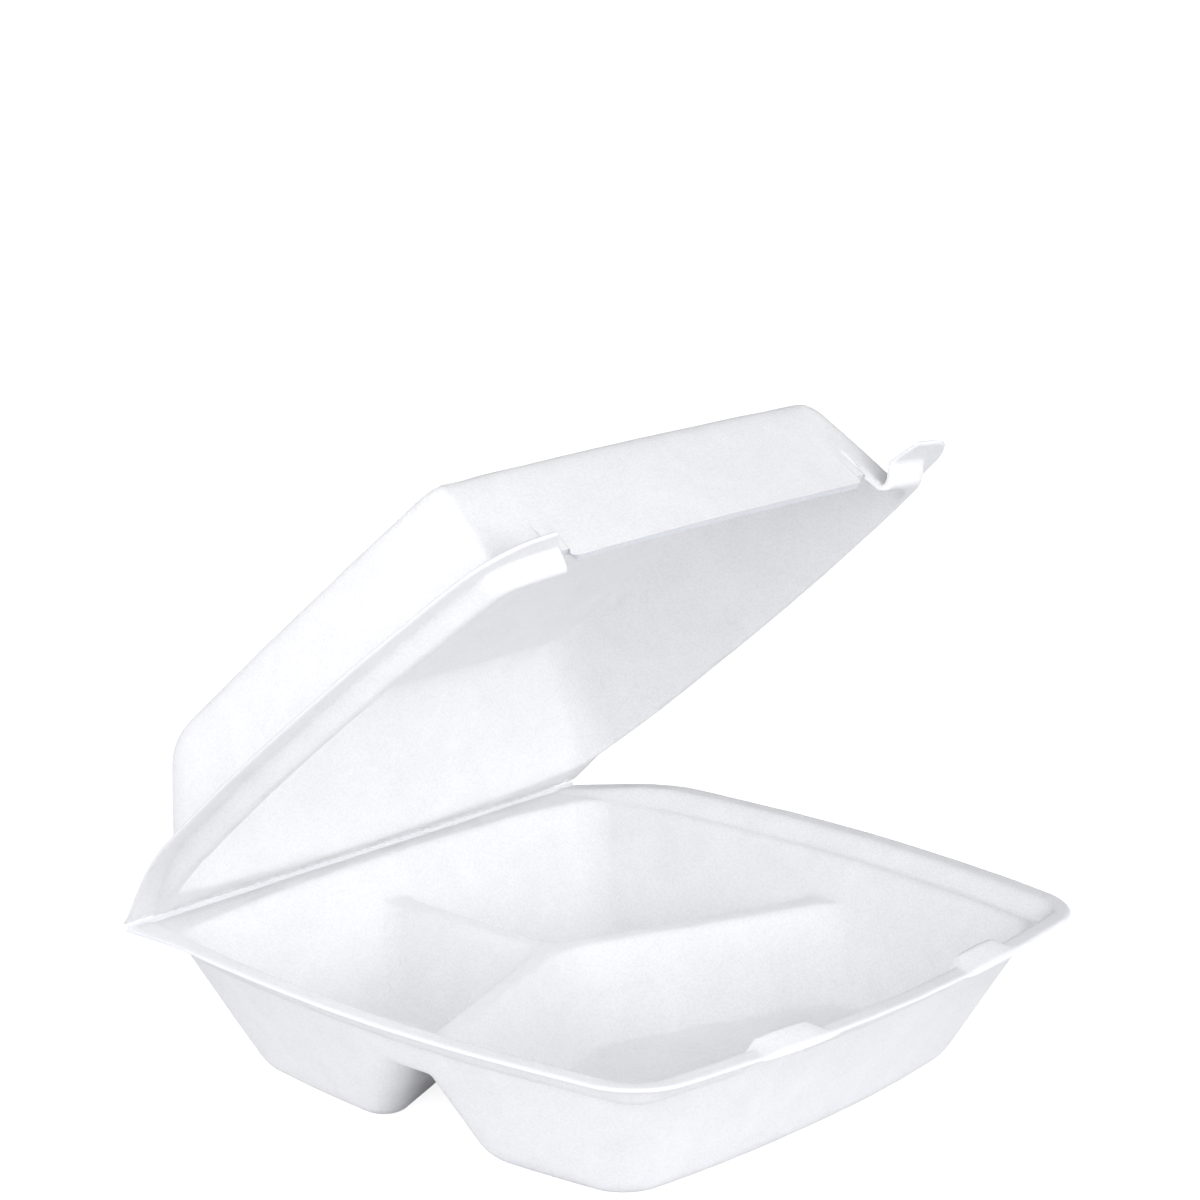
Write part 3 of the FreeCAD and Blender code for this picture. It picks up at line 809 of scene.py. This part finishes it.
def build_floor(settings):
    mesh = bpy.data.meshes.new("studio_floor")
    side = 9.0
    corners = [(-side, -side, 0), (side, -side, 0), (side, side, 0), (-side, side, 0)]
    mesh.from_pydata(corners, [], [(0, 1, 2, 3)])
    floor = bpy.data.objects.new("studio_floor", mesh)
    bpy.context.scene.collection.objects.link(floor)
    mesh.materials.append(floor_material(settings))


def build_camera(settings):
    """Camera at the photograph's viewing angle."""
    azimuth = math.radians(settings.azimuth)
    pitch = math.radians(settings.pitch)
    roll = math.radians(settings.roll)
    level = math.cos(pitch)
    back = Vector((math.sin(azimuth) * level, -math.cos(azimuth) * level, math.sin(pitch)))
    right = Vector((math.cos(azimuth), math.sin(azimuth), 0))
    up = back.cross(right)
    turned_right = right * math.cos(roll) + up * math.sin(roll)
    turned_up = up * math.cos(roll) - right * math.sin(roll)
    data = bpy.data.cameras.new("camera")
    data.sensor_width = 36.0
    data.lens = settings.lens
    data.clip_end = 50.0
    camera = bpy.data.objects.new("camera", data)
    bpy.context.scene.collection.objects.link(camera)
    rows = Matrix((turned_right, turned_up, back)).transposed().to_4x4()
    camera.matrix_world = Matrix.Translation(Vector(settings.place)) @ rows
    bpy.context.scene.camera = camera


class SheetSettings(bpy.types.PropertyGroup):
    fine: FloatProperty(name="Fine step", description="Point spacing where it bends, in mm", default=1.25)
    coarse: FloatProperty(name="Coarse step", description="Point spacing on flat panels, in mm", default=3.75)
    web: FloatProperty(name="Crease web", description="Thickness of the crease, in mm", default=0.7)


class FoamSettings(bpy.types.PropertyGroup):
    cell: FloatProperty(name="Cell", description="Size of the foam cells, in mm", default=0.75)
    grain: FloatProperty(name="Grain", description="Size of the skin grain, in mm", default=0.35)
    bump: FloatProperty(name="Bump", description="Depth of the grain", default=0.55)
    cell_top: StringProperty(name="Cell colour", description="Top of the cells", default="#FCFCFC")
    cell_gap: StringProperty(name="Gap colour", description="Between the cells", default="#F4F4F5")


class StageSettings(bpy.types.PropertyGroup):
    azimuth: FloatProperty(name="Azimuth", description="Camera azimuth in degrees", default=-48.152)
    pitch: FloatProperty(name="Pitch", description="Camera pitch in degrees", default=14.471)
    roll: FloatProperty(name="Roll", description="Camera roll in degrees", default=0.474)
    lens: FloatProperty(name="Lens", description="Focal length in mm", default=104.882)
    place: FloatVectorProperty(name="Place", description="Camera place", size=3, subtype="TRANSLATION",
                               unit="LENGTH", default=(-0.78605, -0.69626, 0.42342))
    sky: FloatProperty(name="Sky", description="Strength of the even studio light", default=0.25)
    lamps: FloatProperty(name="Lamps", description="Factor on the power of all soft boxes", default=1.0)
    floor_glow: FloatProperty(name="Floor lift", description="Light added to the seen floor", default=0.8)


class ContainerSettings(bpy.types.PropertyGroup):
    sheet: PointerProperty(type=SheetSettings)
    foam: PointerProperty(type=FoamSettings)
    stage: PointerProperty(type=StageSettings)


def foam_of(context):
    """The one foam material that all pieces share."""
    name = "expanded_polystyrene_sheet_thermoformed"
    return bpy.data.materials.get(name) or foam_material(context.scene.container.foam)


class CONTAINER_OT_tray(bpy.types.Operator):
    """Build the tray with its compartments, dividers, rim and latch lugs"""
    bl_idname = "container.tray"
    bl_label = "Build tray"

    def execute(self, context):
        build_tray(context.scene.container.sheet, foam_of(context))
        return {"FINISHED"}


class CONTAINER_OT_lid(bpy.types.Operator):
    """Build the domed lid with its rim, latch strip and tear line"""
    bl_idname = "container.lid"
    bl_label = "Build lid"

    def execute(self, context):
        build_lid(context.scene.container.sheet, foam_of(context))
        return {"FINISHED"}


class CONTAINER_OT_crease(bpy.types.Operator):
    """Build the pressed crease that joins tray and lid"""
    bl_idname = "container.crease"
    bl_label = "Build crease"

    def execute(self, context):
        build_crease(context.scene.container.sheet, foam_of(context))
        return {"FINISHED"}


class CONTAINER_OT_stage(bpy.types.Operator):
    """Build the floor, the light and the camera"""
    bl_idname = "container.stage"
    bl_label = "Build stage"

    def execute(self, context):
        settings = context.scene.container.stage
        build_world(settings)
        build_floor(settings)
        for name, place, power in LAMPS:
            area_lamp(name, place, (0, 0, 0.07), (1.2, 1.2), settings.lamps * power, DAYLIGHT)
        build_camera(settings)
        context.scene.view_settings.view_transform = "Standard"
        return {"FINISHED"}


class CONTAINER_PT_panel(bpy.types.Panel):
    bl_label = "Foam container"
    bl_space_type = "VIEW_3D"
    bl_region_type = "UI"
    bl_category = "Container"

    def draw(self, context):
        settings = context.scene.container
        for group in (settings.sheet, settings.foam, settings.stage):
            for name in group.bl_rna.properties.keys():
                if name not in {"rna_type", "name"}:
                    self.layout.prop(group, name)
        for operator in OPERATORS:
            self.layout.operator(operator.bl_idname)


OPERATORS = (CONTAINER_OT_tray, CONTAINER_OT_lid, CONTAINER_OT_crease, CONTAINER_OT_stage)
CLASSES = (SheetSettings, FoamSettings, StageSettings, ContainerSettings) + OPERATORS + (CONTAINER_PT_panel,)


def register():
    for cls in CLASSES:
        bpy.utils.register_class(cls)
    bpy.types.Scene.container = PointerProperty(type=ContainerSettings)


def unregister():
    del bpy.types.Scene.container
    for cls in reversed(CLASSES):
        bpy.utils.unregister_class(cls)


def main():
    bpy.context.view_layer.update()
    register()
    bpy.ops.container.tray()
    bpy.ops.container.lid()
    bpy.ops.container.crease()
    bpy.ops.container.stage()


if __name__ == "__main__":
    main()
